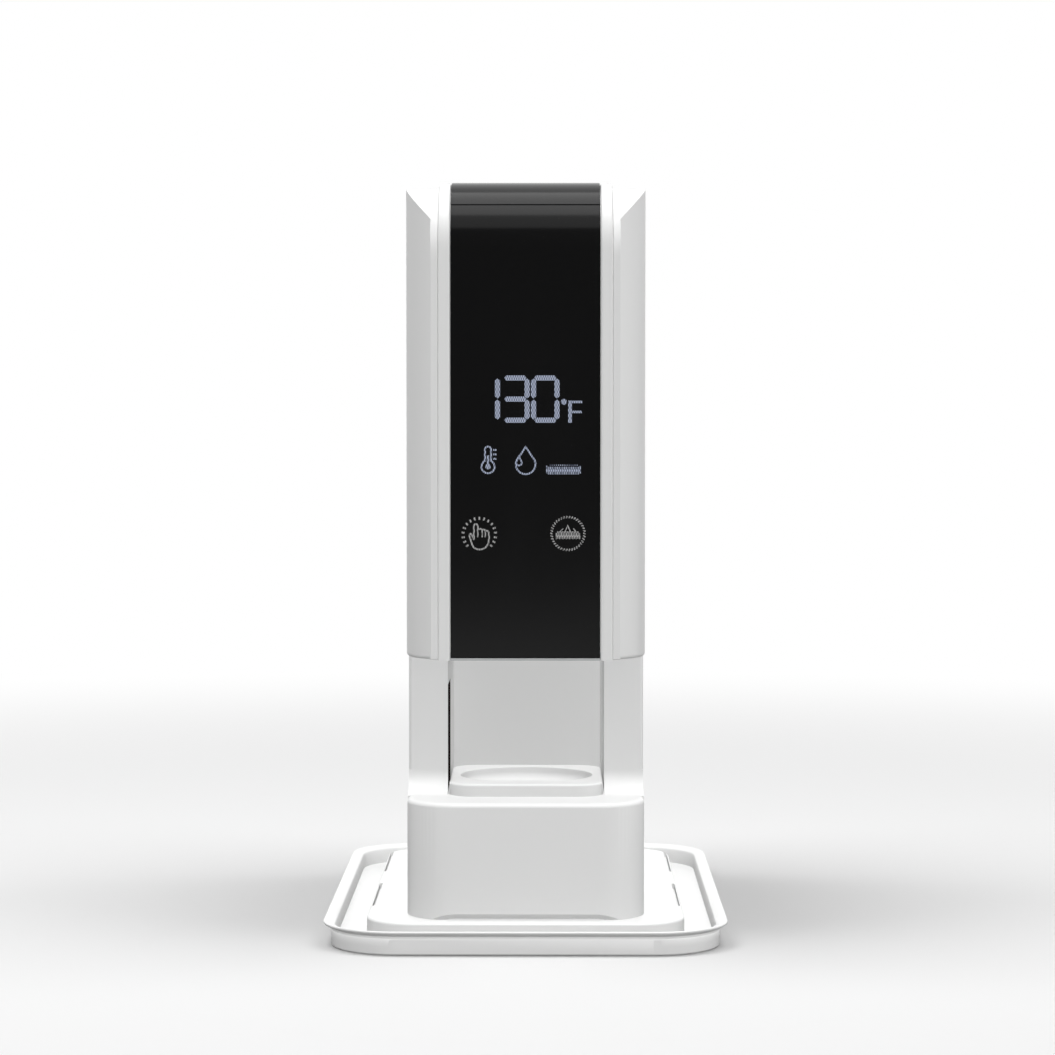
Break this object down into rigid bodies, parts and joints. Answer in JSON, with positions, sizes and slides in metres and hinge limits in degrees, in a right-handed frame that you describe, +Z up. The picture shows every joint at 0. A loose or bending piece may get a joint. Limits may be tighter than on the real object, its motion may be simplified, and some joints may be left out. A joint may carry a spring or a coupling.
{
  "type": "hot towel dispenser",
  "caption": "Tall white countertop towel dispenser with a black panel up its front, an open bay with a dish below the head, and a lipped drip tray.",
  "frame": {"origin": "centre of the drip tray's underside", "axes": "+Z up, -Y towards the user at the front, +X to the machine's right as seen from the front"},
  "size_m": [0.2024, 0.31, 0.382],
  "materials": {
    "tray_white": "moulded white plastic with a soft sheen",
    "shell_white": "moulded white plastic, satin, very finely grained",
    "trim_white": "smooth white plastic with a brighter sheen",
    "panel_black": "polished black acrylic",
    "window_black": "dark infrared window",
    "inner_grey": "plain moulded grey plastic",
    "rubber_black": "black rubber",
    "moulded_black": "black moulded plastic",
    "acetal": "off-white low-friction plastic",
    "clear_plastic": "translucent plastic",
    "silicone": "milky silicone",
    "board_green": "glass-fibre circuit board with its parts",
    "pin_steel": "zinc-plated steel",
    "spring_steel": "drawn steel wire",
    "motor_steel": "nickel-plated can",
    "heater_aluminium": "cast aluminium block"
  },
  "bodies": {
    "machine": {"drip_tray": "tray_white", "tray_platform": "tray_white", "lower_housing": "shell_white", "bottom_plate": "inner_grey", "rubber_feet": "rubber_black", "rear_cover": "shell_white", "sensor_window": "window_black", "towel_sensor": "board_green", "head_chassis": "inner_grey", "side_shell_left": "shell_white", "side_shell_right": "shell_white", "trim_rail_left": "trim_white", "trim_rail_right": "trim_white", "front_panel": "panel_black", "display_board": "board_green", "touch_springs": "spring_steel", "lid_hinge_pin": "pin_steel", "lid_bridge": "panel_black", "magazine_tube": "inner_grey", "feed_deck": "acetal", "gearmotor": "motor_steel", "motor_bracket": "pin_steel", "drop_chute": "inner_grey", "tank_dock": "inner_grey", "pump": "moulded_black", "pump_cradle": "inner_grey", "heater": "heater_aluminium", "heater_bracket": "pin_steel", "thermal_cutout": "moulded_black", "spray_nozzle": "acetal", "suction_hose": "silicone", "pressure_hose": "silicone", "outlet_hose": "silicone", "hose_clamps": "spring_steel", "power_supply": "board_green", "control_board": "board_green", "buzzer": "moulded_black", "mains_inlet": "moulded_black", "switch_housing": "moulded_black", "chassis_screws": "pin_steel", "shell_screws": "pin_steel", "base_screws": "pin_steel", "cover_screws": "pin_steel"},
    "pad": {"dish_pad": "shell_white"},
    "magazine_cover": {"magazine_lid": "panel_black"},
    "pusher": {"towel_pusher": "acetal"},
    "pinion_gear": {"pinion": "acetal"},
    "tank": {"water_tank": "clear_plastic", "tank_lid_pin": "pin_steel", "valve_guide": "acetal", "valve_seal": "rubber_black", "valve_spring": "spring_steel"},
    "tank_cover": {"tank_lid": "panel_black"},
    "valve": {"valve_poppet": "acetal"},
    "rocker": {"switch_rocker": "moulded_black"}
  },
  "joints": [
    {"name": "lid_hinge", "type": "hinge", "parent": "machine", "child": "magazine_cover", "pos_m": [0, 0.0425, 0.3765], "axis": [-1, 0, 0], "range_deg": [0, 85]},
    {"name": "tank_lift", "type": "slide", "parent": "machine", "child": "tank", "axis": [0, 0, 1], "range_m": [0, 0.205]},
    {"name": "tank_lid_hinge", "type": "hinge", "parent": "tank", "child": "tank_cover", "pos_m": [0, 0.1115, 0.3617], "axis": [-1, 0, 0], "range_deg": [0, 95]},
    {"name": "valve_lift", "type": "slide", "parent": "tank", "child": "valve", "axis": [0, 0, 1], "range_m": [0, 0.003], "stiffness_N_per_m": 100, "springref_m": -0.01, "deforming": ["valve_spring"]},
    {"name": "pusher_slide", "type": "slide", "parent": "machine", "child": "pusher", "axis": [0, -1, 0], "range_m": [0, 0.062]},
    {"name": "pinion_spin", "type": "hinge", "parent": "machine", "child": "pinion_gear", "pos_m": [0.048, 0.04053, 0.161], "axis": [0, 0, 1], "range_deg": [0, 445]},
    {"name": "rocker_tilt", "type": "hinge", "parent": "machine", "child": "rocker", "pos_m": [-0.02, 0.1138, 0.048], "axis": [1, 0, 0], "range_deg": [0, 20]},
    {"name": "pad_lift", "type": "slide", "parent": "machine", "child": "pad", "axis": [0, 0, 1], "range_m": [0, 0.015]}
  ],
  "couplings": [
    {"joint": "pinion_spin", "follows": "pusher_slide", "rad_per_m": 125}
  ]
}
